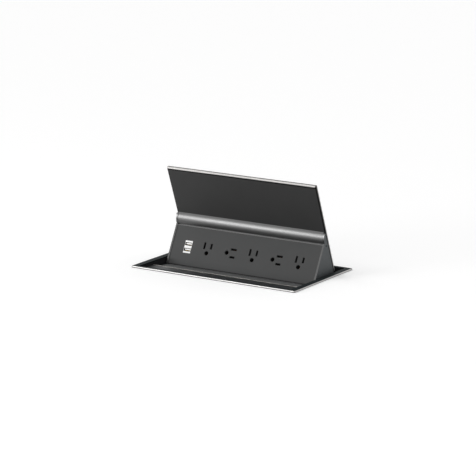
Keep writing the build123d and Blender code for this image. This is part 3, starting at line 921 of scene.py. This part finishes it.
@dataclass
class Housing:
    """The frame and the tub: their screws, and the light nosing of the shelf, a painted highlight.
    """

    skirt_screw: Screw = Screw(
        head_radius=2.68 * MM, head_height=1.5 * MM, shank_radius=1.45 * MM,
        shank_length=2.95 * MM, groove_count=4,
    )
    floor_screw: Screw = Screw(
        head_radius=1.98 * MM, head_height=1.45 * MM, shank_radius=1.45 * MM,
        shank_length=7.9 * MM, drive_radius=0.9 * MM,
    )
    pan_screw: Screw = Screw(
        head_radius=2.7 * MM, head_height=1.5 * MM, shank_radius=1.45 * MM,
        shank_length=4.9 * MM, drive_radius=1.3 * MM,
    )
    side_face: float = 146.0 * MM
    skirt: float = 1.5 * MM
    skirt_screw_y: float = 65.6 * MM
    skirt_screw_z: float = -6.0 * MM
    floor: float = -96.0 * MM
    floor_screw_x: float = 143.5 * MM
    floor_screw_y: float = 61.5 * MM
    bracket_face: float = 148.5 * MM
    bracket_y: float = -35.0 * MM
    bracket_screw_reach: float = 9.0 * MM
    bracket_screw_z: float = -70.4 * MM
    shelf_edge: float = -42.03 * MM
    shelf_top: float = -3.4 * MM
    shelf_half: float = 141.0 * MM
    nosing: Pair = (1.3 * MM, 0.5 * MM)
    nosing_round: float = 0.225 * MM

    def build(self) -> None:
        """Models and dresses the housing's screws and the shelf's nosing."""
        self.shelf_highlight_nosing()
        self.frame_screws()
        self.tub_screws()
        self.bracket_screws()

    def shelf_highlight_nosing(self) -> None:
        """The light strip on the shelf's rear edge, a painted highlight of the lit edge."""
        wide, high = self.nosing
        strip = rounded_bar(
            "shelf_highlight_nosing",
            (-self.shelf_half, self.shelf_edge - wide, self.shelf_top),
            (self.shelf_half, self.shelf_edge, self.shelf_top + high),
            self.nosing_round,
        )
        finish_piece(strip, NOSING_HIGHLIGHT_METAL, Body.HOUSING)

    def frame_screws(self) -> None:
        """The four flush screws through the skirt."""
        screw = self.skirt_screw.model("skirt_screw")
        face = self.side_face + self.skirt
        places = [
            facing((side, 0, 0), (side * face, turn * self.skirt_screw_y, self.skirt_screw_z))
            for side in SIDES
            for turn in SIDES
        ]
        joined = copy_to(screw, places, "frame_screw_set")
        finish_piece(joined, SCREW_STEEL, Body.HOUSING, ["frame_screws"])

    def tub_screws(self) -> None:
        """The six screws up through the floor."""
        screw = self.floor_screw.model("floor_screw")
        places = [
            facing((0, 0, -1), (side * self.floor_screw_x, row * self.floor_screw_y, self.floor))
            for side in SIDES
            for row in (-1, 0, 1)
        ]
        joined = copy_to(screw, places, "tub_screw_set")
        finish_piece(joined, SCREW_STEEL, Body.HOUSING, ["tub_screws"])

    def bracket_screws(self) -> None:
        """The pan head screws that hold the brackets."""
        screw = self.pan_screw.model("pan_screw")
        face, reach = self.bracket_face + self.pan_screw.head_height, self.bracket_screw_reach
        places = [
            facing(
                (side, 0, 0), (side * face, self.bracket_y + turn * reach, self.bracket_screw_z)
            )
            for side in SIDES
            for turn in SIDES
        ]
        joined = copy_to(screw, places, "bracket_screw_set")
        finish_piece(joined, SCREW_STEEL, Body.HOUSING, ["bracket_screws"])


@dataclass
class JackScrew:
    """One clamping screw under the desk: pad, threaded shank and fluted knob."""

    side: int
    x: float = 164.0 * MM
    y: float = -35.0 * MM
    top: float = -30.0 * MM
    pad_radius: float = 8.0 * MM
    pad_height: float = 3.0 * MM
    shank_radius: float = 3.0 * MM
    length: float = 36.0 * MM
    pitch: float = 1.0 * MM
    thread_depth: float = 0.3 * MM
    knob_radius: float = 7.0 * MM
    knob_height: float = 6.0 * MM
    knob_sides: int = 48
    flute_depth: float = 0.45 * MM
    flute_edge: float = 0.1 * MM
    dish_rim: float = 1.2 * MM
    dish_depth: float = 0.8 * MM
    weld: float = 0.001 * MM

    def build(self) -> None:
        """Models the screw and hangs it on its body."""
        word = "left" if self.side < 0 else "right"
        body = Body.JACK_LEFT if self.side < 0 else Body.JACK_RIGHT
        screw = start(
            bpy.ops.mesh.primitive_cylinder_add,
            f"jack_screw_{word}_threaded",
            vertices=self.knob_sides,
            radius=self.pad_radius,
            depth=self.pad_height,
            location=(0, 0, -self.pad_height / 2),
        )
        settle(screw)
        edit(screw)
        pick_faces(screw, lambda centre, normal: normal.z < -FACING_ALONG)
        bpy.ops.mesh.inset(thickness=self.pad_radius - self.shank_radius)
        shank = self.length - self.pad_height - self.knob_height
        turns = round(shank / self.pitch)
        root = (self.shank_radius - self.thread_depth) / self.shank_radius
        for _ in range(turns):
            for size in (root, 1 / root):
                extrude((0, 0, -shank / turns / 2))
                bpy.ops.transform.resize(value=(size, size, 1.0))
        bpy.ops.mesh.extrude_region_move()
        grow = self.knob_radius / self.shank_radius
        bpy.ops.transform.resize(value=(grow, grow, 1.0))
        extrude((0, 0, -self.knob_height))
        bpy.ops.mesh.inset(thickness=self.dish_rim)
        extrude((0, 0, self.dish_depth))
        self.flute(screw)
        bpy.ops.mesh.select_all(action="SELECT")
        bpy.ops.mesh.remove_doubles(threshold=self.weld)
        bpy.ops.mesh.normals_make_consistent(inside=False)
        leave_edit()
        settle(screw, Matrix.Translation((self.side * self.x, self.y, self.top)))
        finish_piece(screw, SCREW_STEEL, body, [f"jack_screw_{word}"])

    def flute(self, screw: Piece) -> None:
        """Presses every second side of the knob inwards for grip.

        Args:
            screw: the screw, in edit mode.
        """
        step = 2 * math.pi / self.knob_sides
        level = -self.length + self.knob_height

        def grip(centre: Vector, normal: Vector) -> bool:
            """Tells whether a face is one of the knob's to press in."""
            number = round(math.atan2(centre.y, centre.x) / step - 0.5)
            return abs(normal.z) < 1 - FACING_ALONG and centre.z < level and number % 2 == 0

        pick_faces(screw, grip)
        bpy.ops.mesh.inset(thickness=self.flute_edge, use_individual=True)
        bpy.ops.transform.shrink_fatten(value=-self.flute_depth)


@dataclass
class Lid:
    """The lid's own fine pieces, modelled with the unit shut."""

    half_x: float = 139.3 * MM
    half_y: float = 79.8 * MM
    liner_inset: float = 1.6 * MM
    liner_gap: float = 0.1 * MM
    panel_under: float = 0.2 * MM
    liner_under: float = -1.8 * MM
    seal_width: float = 0.7 * MM
    seal_setback: float = 0.25 * MM
    corner: float = 1.5 * MM
    corner_steps: int = 5
    slack: float = 0.01 * MM
    trim_setback: float = 0.3 * MM
    trim_width: float = 2.0 * MM
    trim_lip: float = 0.35 * MM
    lip_steps: int = 2
    gasket_width: float = 2.2 * MM
    gasket_proud: float = 0.25 * MM
    gasket_round: float = 0.1 * MM

    def build(self) -> None:
        """Models the black seal round the liner, and the trim and the black gasket at the lid's
        tip; the black strips are painted shadow lines.
        """
        self.liner_shadow_seal()
        self.tip_highlight_trim()
        self.tip_shadow_gasket()

    def tip_highlight_trim(self) -> None:
        """The drawn aluminium angle that closes the lid's tip and laps over the liner; its light
        tone is partly a painted highlight of the lit top edge.
        """
        front = -self.half_y + self.trim_setback
        liner_edge = -self.half_y + self.liner_inset - self.liner_gap
        lip, level = self.trim_lip, self.liner_under
        low = level - lip
        half = self.half_x - self.liner_inset
        trim = start(
            bpy.ops.mesh.primitive_cube_add,
            "lid_tip_highlight_trim",
            size=1.0,
            location=(0, (front + liner_edge) / 2, (low + self.panel_under) / 2),
        )
        trim.scale = (2 * half, liner_edge - front, self.panel_under - low)
        settle(trim)
        edit(trim)
        bpy.ops.mesh.select_all(action="SELECT")
        bpy.ops.mesh.bisect(plane_co=(0, 0, level), plane_no=(0, 0, 1))
        bpy.ops.mesh.select_mode(type="FACE")
        pick_faces(trim, lambda centre, normal: normal.y > FACING_ALONG and centre.z < level)
        reach = front + self.trim_width - liner_edge
        extrude((0, reach, 0))
        bpy.ops.mesh.select_mode(type="EDGE")
        pick_edges(
            trim, lambda a, b: abs(a.x - b.x) > half and a.z < level - lip / 2 and a.y == b.y
        )
        bpy.ops.mesh.bevel(offset=lip / 2, segments=self.lip_steps, affect="EDGES")
        leave_edit()
        settle(trim, SWING.opened())
        finish_piece(trim, TRIM_HIGHLIGHT_METAL, Body.FLIP)

    def tip_shadow_gasket(self) -> None:
        """The black rubber strip beside the trim, a painted shadow line."""
        front = -self.half_y + self.trim_setback + self.trim_width
        half = self.half_x - self.liner_inset
        strip = rounded_bar(
            "lid_tip_shadow_gasket",
            (-half, front, self.liner_under - self.gasket_proud),
            (half, front + self.gasket_width, self.liner_under),
            self.gasket_round,
        )
        settle(strip, SWING.opened())
        finish_piece(strip, SHADOW_SEAL_RUBBER, Body.FLIP)

    def liner_shadow_seal(self) -> None:
        """The black seal that runs round the liner, a painted shadow line in the gap."""
        x = self.half_x - self.liner_inset + self.seal_width
        y = self.half_y - self.liner_inset + self.seal_width
        place = (0, 0, self.panel_under)
        seal = start(bpy.ops.mesh.primitive_plane_add, "lid_shadow_seal", size=2.0, location=place)
        seal.scale = (x, y, 1.0)
        settle(seal)
        edit(seal)
        bpy.ops.mesh.select_all(action="SELECT")
        bpy.ops.mesh.inset(thickness=self.seal_width)
        bpy.ops.mesh.delete(type="FACE")
        bpy.ops.mesh.select_all(action="SELECT")
        drop = self.liner_under + self.seal_setback - self.panel_under
        extrude((0, 0, drop))
        bpy.ops.mesh.select_all(action="SELECT")
        bpy.ops.mesh.normals_make_consistent(inside=False)
        bpy.ops.mesh.select_mode(type="EDGE")
        outer_x, outer_y = x - self.slack, y - self.slack
        pick_edges(
            seal,
            lambda a, b: abs(a.z - b.z) > self.slack and abs(a.x) > outer_x and abs(a.y) > outer_y,
        )
        bpy.ops.mesh.bevel(offset=self.corner, segments=self.corner_steps, affect="EDGES")
        leave_edit()
        settle(seal, SWING.opened())
        finish_piece(seal, SHADOW_SEAL_RUBBER, Body.FLIP)


@dataclass(frozen=True)
class FasciaPlane:
    """The fascia's plane with the unit shut; distances run down it from the lid and behind it."""

    apex: float = 10.2 * MM
    level: float = 2.8 * MM
    angle: float = math.radians(48.2)

    def point(self, x: float, down: float, behind: float) -> Vector:
        """A point by its distance down the fascia and behind it.

        Args:
            x: along the unit.
            down: down the fascia.
            behind: behind it, less than nothing in front.

        Returns:
            The point, with the unit shut.
        """
        along, across = math.cos(self.angle), math.sin(self.angle)
        y = self.apex + down * along + behind * across
        return Vector((x, y, self.level - down * across + behind * along))

    def facing_in(self, x: float, down: float, behind: float) -> Matrix:
        """Where a piece goes whose +Z points behind the fascia."""
        inward = (0, math.sin(self.angle), math.cos(self.angle))
        return facing(inward, self.point(x, down, behind))

    def upright(self, x: float, down: float, behind: float) -> Matrix:
        """Where a piece goes whose +Z points to the user and +Y up the fascia.

        Args:
            x: along the unit.
            down: down the fascia.
            behind: behind it.

        Returns:
            The matrix, with the unit shut.
        """
        along, across = math.cos(self.angle), math.sin(self.angle)
        turn = Matrix(((1, 0, 0), (0, -along, -across), (0, across, -along))).to_4x4()
        return Matrix.Translation(self.point(x, down, behind)) @ turn


@dataclass
class Wedge:
    """The wedge's own fine pieces: its foot seal, a painted shade in the groove, its screws and the
    ports' contact springs.
    """

    end_screw: Screw = Screw(
        head_radius=1.78 * MM, head_height=1.5 * MM, shank_radius=0.88 * MM,
        shank_length=9.4 * MM, drive_radius=0.95 * MM, drive_depth=0.8 * MM,
    )
    row_screw: Screw = Screw(
        head_radius=2.1 * MM, head_height=1.05 * MM, shank_radius=1.0 * MM, shank_length=0.0,
        drive_radius=1.1 * MM, drive_depth=0.7 * MM,
    )
    clamp_screw: Screw = Screw(
        head_radius=2.88 * MM, head_height=2.1 * MM, shank_radius=2.0 * MM, shank_length=0.0,
        drive=Drive.SLOT, drive_radius=2.0 * MM,
    )
    plane: FasciaPlane = FasciaPlane()
    half_x: float = 139.3 * MM
    end_screws_at: tuple[Pair, ...] = (
        (18.0 * MM, 5.8 * MM),
        (86.75 * MM, 2.25 * MM),
    )
    row_x: float = 124.3 * MM
    ridge_row: Pair = (24.7 * MM, 6.0 * MM)
    rail_row: Pair = (78.1 * MM, 4.5 * MM)
    row_cover: float = 0.8 * MM
    port_x: float = -106.6 * MM
    port_centre: float = 53.0 * MM
    port_rise: float = 4.8 * MM
    tongue_rise: float = 0.9 * MM
    tongue_half: float = 0.95 * MM
    tongue_front: float = 3.0 * MM
    spring_size: Triple = (1.0 * MM, 7.5 * MM, 0.25 * MM)
    spring_cuts: int = 3
    spring_tip: float = 0.45
    spring_lift: float = 1.4
    spring_places: tuple[float, ...] = (-3.5 * MM, -1.0 * MM, 1.0 * MM, 3.5 * MM)
    terminal_x: float = 128.3 * MM
    terminal_y: float = 65.1 * MM
    terminal_z: float = -32.8 * MM
    terminal_pitch: float = 8.7 * MM
    groove: Pair = (83.5 * MM, 85.5 * MM)
    groove_seal: Pair = (0.4 * MM, 1.9 * MM)
    groove_gap: float = 0.05 * MM
    seal_round: float = 0.3 * MM
    inner_half_x: float = 136.3 * MM

    def build(self) -> None:
        """Models and dresses the wedge's seal, screws and springs."""
        self.foot_shadow_seal()
        self.end_screws()
        self.fascia_screws()
        self.terminal_screws()
        self.port_springs()

    def foot_shadow_seal(self) -> None:
        """The black rubber strip in the groove between the fascia and the rail, a painted shade
        that darkens the groove.
        """
        upper, lower = self.groove
        front, back = self.groove_seal
        half_x, half_y = self.inner_half_x - self.groove_gap, (lower - upper) / 2 - self.groove_gap
        corners = ((-half_x, -half_y, -back), (half_x, half_y, -front))
        strip = rounded_bar("fascia_foot_shadow_seal", *corners, self.seal_round)
        settle(strip, SWING.opened() @ self.plane.upright(0.0, (upper + lower) / 2, 0.0))
        finish_piece(strip, FOOT_SHADOW_RUBBER, Body.FLIP)

    def end_screws(self) -> None:
        """The flush screws in the end plates."""
        screw = self.end_screw.model("end_screw")
        places = []
        for side in SIDES:
            for down, behind in self.end_screws_at:
                place = facing((side, 0, 0), self.plane.point(side * self.half_x, down, behind))
                places.append(SWING.opened() @ place)
        joined = copy_to(screw, places, "end_screw_set")
        finish_piece(joined, END_SCREW_STEEL, Body.FLIP, ["end_screws"])

    def fascia_screws(self) -> None:
        """The screws that go into the fascia from behind."""
        rows = []
        for word, (down, back) in (("ridge", self.ridge_row), ("rail", self.rail_row)):
            screw = replace(self.row_screw, shank_length=back - self.row_cover)
            screw = screw.model(f"{word}_row_screw")
            behind = back + self.row_screw.head_height
            places = [
                SWING.opened() @ self.plane.facing_in(x, down, behind)
                for x in (-self.row_x, 0.0, self.row_x)
            ]
            rows.append(copy_to(screw, places, f"{word}_row_screws"))
        finish_piece(rows[1], SCREW_STEEL, Body.FLIP)
        finish_piece(rows[0], SCREW_STEEL, Body.FLIP, ["fascia_screws"])

    def terminal_screws(self) -> None:
        """The slotted clamping screws in the terminal block."""
        screw = self.clamp_screw.model("clamp_screw")
        places = [
            SWING.opened()
            @ facing(
                (0, -1, 0),
                (self.terminal_x, self.terminal_y, self.terminal_z + step * self.terminal_pitch),
            )
            for step in (-1, 0, 1)
        ]
        joined = copy_to(screw, places, "terminal_screw_set")
        finish_piece(joined, SCREW_STEEL, Body.FLIP, ["terminal_screws"])

    def port_springs(self) -> None:
        """Four sprung contacts under the tongue of each port."""
        width, length, thick = self.spring_size
        spring = start(bpy.ops.mesh.primitive_plane_add, "port_spring", size=1.0)
        spring.scale = (width, length, 1.0)
        settle(spring)
        edit(spring)
        bpy.ops.mesh.select_all(action="SELECT")
        bpy.ops.mesh.subdivide(number_cuts=self.spring_cuts)
        bpy.ops.mesh.select_mode(type="EDGE")
        tip = length * self.spring_tip
        pick_edges(spring, lambda a, b: a.y > tip and b.y > tip)
        bpy.ops.transform.translate(value=(0, 0, thick * self.spring_lift))
        bpy.ops.mesh.select_mode(type="FACE")
        bpy.ops.mesh.select_all(action="SELECT")
        extrude((0, 0, -thick))
        bpy.ops.mesh.select_all(action="SELECT")
        bpy.ops.mesh.normals_make_consistent(inside=False)
        leave_edit()
        lie = Matrix.Rotation(QUARTER_TURN, 4, "X")
        places = []
        behind = self.tongue_front + length / 2
        for rise in (-self.port_rise, self.port_rise):
            down = self.port_centre - rise - self.tongue_rise + self.tongue_half + thick
            for across in self.spring_places:
                place = self.plane.upright(self.port_x + across, down, behind)
                places.append(SWING.opened() @ place @ lie)
        joined = copy_to(spring, places, "port_contact_springs")
        finish_piece(joined, CONTACT_GOLD, Body.FLIP)


def hang(name: str, data: bpy.types.ID, place: Vector, way: Vector) -> Piece:
    """Puts a lamp or the camera into the scene.

    Args:
        name: the object's name.
        data: the lamp or the camera.
        place: where it is.
        way: the direction that it looks in.

    Returns:
        The object.
    """
    made = bpy.data.objects.new(name, data)
    bpy.context.scene.collection.objects.link(made)
    made.location = place
    made.rotation_mode = "QUATERNION"
    made.rotation_quaternion = way.to_track_quat("-Z", "Y")
    return made


@dataclass
class Studio:
    """Pale floor with the desk cut-out, soft lamps, white surroundings and the camera."""

    floor_half: float = 12.0
    cutout_half: Pair = (148.0 * MM, 84.0 * MM)
    floor_drop: float = 0.05 * MM
    floor_colour: str = "#f2f2f2"
    floor_lift: float = 0.24
    floor_mirrored: float = 0.3
    azimuth: float = math.radians(32.74)
    elevation: float = math.radians(13.15)
    centre: Triple = (0.0, -4.82 * MM, 39.77 * MM)
    shift_right: float = -3.253 * MM
    shift_up: float = 10.767 * MM
    distance: float = 4.1079
    lens: float = 196.6
    sensor: float = 36.0
    clip: Pair = (0.1, 60.0)
    ambient: float = 0.5
    key_place: Triple = (-0.53, -0.35, 0.85)
    key_spread: float = math.radians(40.0)
    key_strength: float = 1.1
    rim_place: Triple = (0.5, 0.9, 0.8)
    rim_spread: float = math.radians(70.0)
    rim_strength: float = 0.25
    softbox_place: Triple = (-0.84, -1.36, 0.18)
    softbox_size: Pair = (0.7, 0.34)
    softbox_power: float = 13.0

    def build(self) -> None:
        """Sets up floor, world, lamps and camera."""
        self.floor()
        self.world()
        self.lamps()
        self.camera()

    def floor(self) -> None:
        """A pale plane with the tub's cut-out, a little brighter when seen or mirrored."""
        floor = start(bpy.ops.mesh.primitive_plane_add, "studio_floor", size=2.0)
        floor.scale = (self.cutout_half[0], self.cutout_half[1], 1.0)
        settle(floor)
        edit(floor, "EDGE")
        bpy.ops.mesh.select_all(action="SELECT")
        bpy.ops.mesh.extrude_region_move()
        grow = self.floor_half / self.cutout_half[0]
        bpy.ops.transform.resize(value=(grow, grow, 1.0))
        bpy.ops.mesh.select_mode(type="FACE")
        wide, deep = self.cutout_half
        pick_faces(
            floor, lambda centre, normal: abs(centre.x) < wide / 2 and abs(centre.y) < deep / 2
        )
        bpy.ops.mesh.delete(type="ONLY_FACE")
        leave_edit()
        settle(floor, Matrix.Translation((0, 0, -self.floor_drop)))
        white = bpy.data.materials.new("matt_white_floor")
        white.use_nodes = True
        tree = white.node_tree
        tree.nodes.clear()
        diffuse = add_node(tree, "BsdfDiffuse", {"Color": linear(self.floor_colour)})
        path = add_node(tree, "LightPath")
        inputs = {0: path.outputs["Is Glossy Ray"], 1: self.floor_mirrored}
        mirrored = add_node(tree, "Math", inputs, operation="MULTIPLY").outputs[0]
        inputs = {0: path.outputs["Is Camera Ray"], 1: self.floor_lift, 2: mirrored}
        lift = add_node(tree, "Math", inputs, operation="MULTIPLY_ADD").outputs[0]
        glow = add_node(tree, "Emission", {"Color": WHITE, "Strength": lift})
        both = add_node(tree, "AddShader", {0: diffuse.outputs[0], 1: glow.outputs[0]})
        add_node(tree, "OutputMaterial", {"Surface": both.outputs[0]})
        floor.data.materials.append(white)

    def world(self) -> None:
        """White to the camera and in reflections, softer as light."""
        world = bpy.data.worlds.new("white_room")
        bpy.context.scene.world = world
        world.use_nodes = True
        tree = world.node_tree
        tree.nodes.clear()
        rays = add_node(tree, "LightPath").outputs
        seen = rays["Is Camera Ray"]
        for kind in ("Is Glossy Ray", "Is Transmission Ray"):
            seen = add_node(tree, "Math", {0: seen, 1: rays[kind]}, operation="MAXIMUM").outputs[0]
        inputs = {"Value": seen, "To Min": self.ambient, "To Max": 1.0}
        strength = add_node(tree, "MapRange", inputs).outputs[0]
        back = add_node(tree, "Background", {"Color": WHITE, "Strength": strength})
        add_node(tree, "OutputWorld", {"Surface": back.outputs[0]})

    def lamps(self) -> None:
        """A broad soft key from the upper left, a weak one behind and a low softbox in front."""
        for name, place, spread, strength in (
            ("key_lamp", self.key_place, self.key_spread, self.key_strength),
            ("rim_lamp", self.rim_place, self.rim_spread, self.rim_strength),
        ):
            light = bpy.data.lights.new(name, "SUN")
            light.energy = strength
            light.angle = spread
            hang(name, light, Vector(place), -Vector(place))
        panel = bpy.data.lights.new("softbox", "AREA")
        panel.shape = "RECTANGLE"
        panel.size, panel.size_y = self.softbox_size
        panel.energy = self.softbox_power
        place = Vector(self.softbox_place)
        softbox = hang("softbox", panel, place, Vector(self.centre) - place)
        softbox.visible_camera = False

    def camera(self) -> None:
        """The photograph's view: a long lens from the right, a little above."""
        turn, tilt = self.azimuth, self.elevation
        right = Vector((math.cos(turn), math.sin(turn), 0))
        forward = Vector(
            (-math.sin(turn) * math.cos(tilt), math.cos(turn) * math.cos(tilt), -math.sin(tilt))
        )
        up = right.cross(forward)
        aim = Vector(self.centre) + self.shift_right * right + self.shift_up * up
        data = bpy.data.cameras.new("camera")
        data.lens = self.lens
        data.sensor_width = self.sensor
        data.sensor_fit = "HORIZONTAL"
        data.clip_start, data.clip_end = self.clip
        place = aim - self.distance * forward
        bpy.context.scene.camera = hang("camera", data, place, forward)


@dataclass
class DressedNodes:
    """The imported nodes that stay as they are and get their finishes."""

    finishes: dict[str, Finish] = field(default_factory=lambda: dict(NODE_FINISHES))

    def build(self, nodes: dict[str, Piece]) -> None:
        """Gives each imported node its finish.

        Args:
            nodes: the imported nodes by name.
        """
        for name, finish in self.finishes.items():
            nodes[name].data.materials.clear()
            nodes[name].data.materials.append(finish.material())
        log.info("dressed %d packed nodes", len(self.finishes))


def main() -> None:
    """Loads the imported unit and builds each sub-assembly in order."""
    logging.basicConfig(level=logging.INFO, format="%(message)s")
    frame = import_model()
    bpy.context.scene.view_settings.view_transform = "Standard"
    DressedNodes().build(frame["nodes"])
    Housing().build()
    for side in SIDES:
        JackScrew(side).build()
    Lid().build()
    Wedge().build()
    Studio().build()


if __name__ == "__main__":
    main()
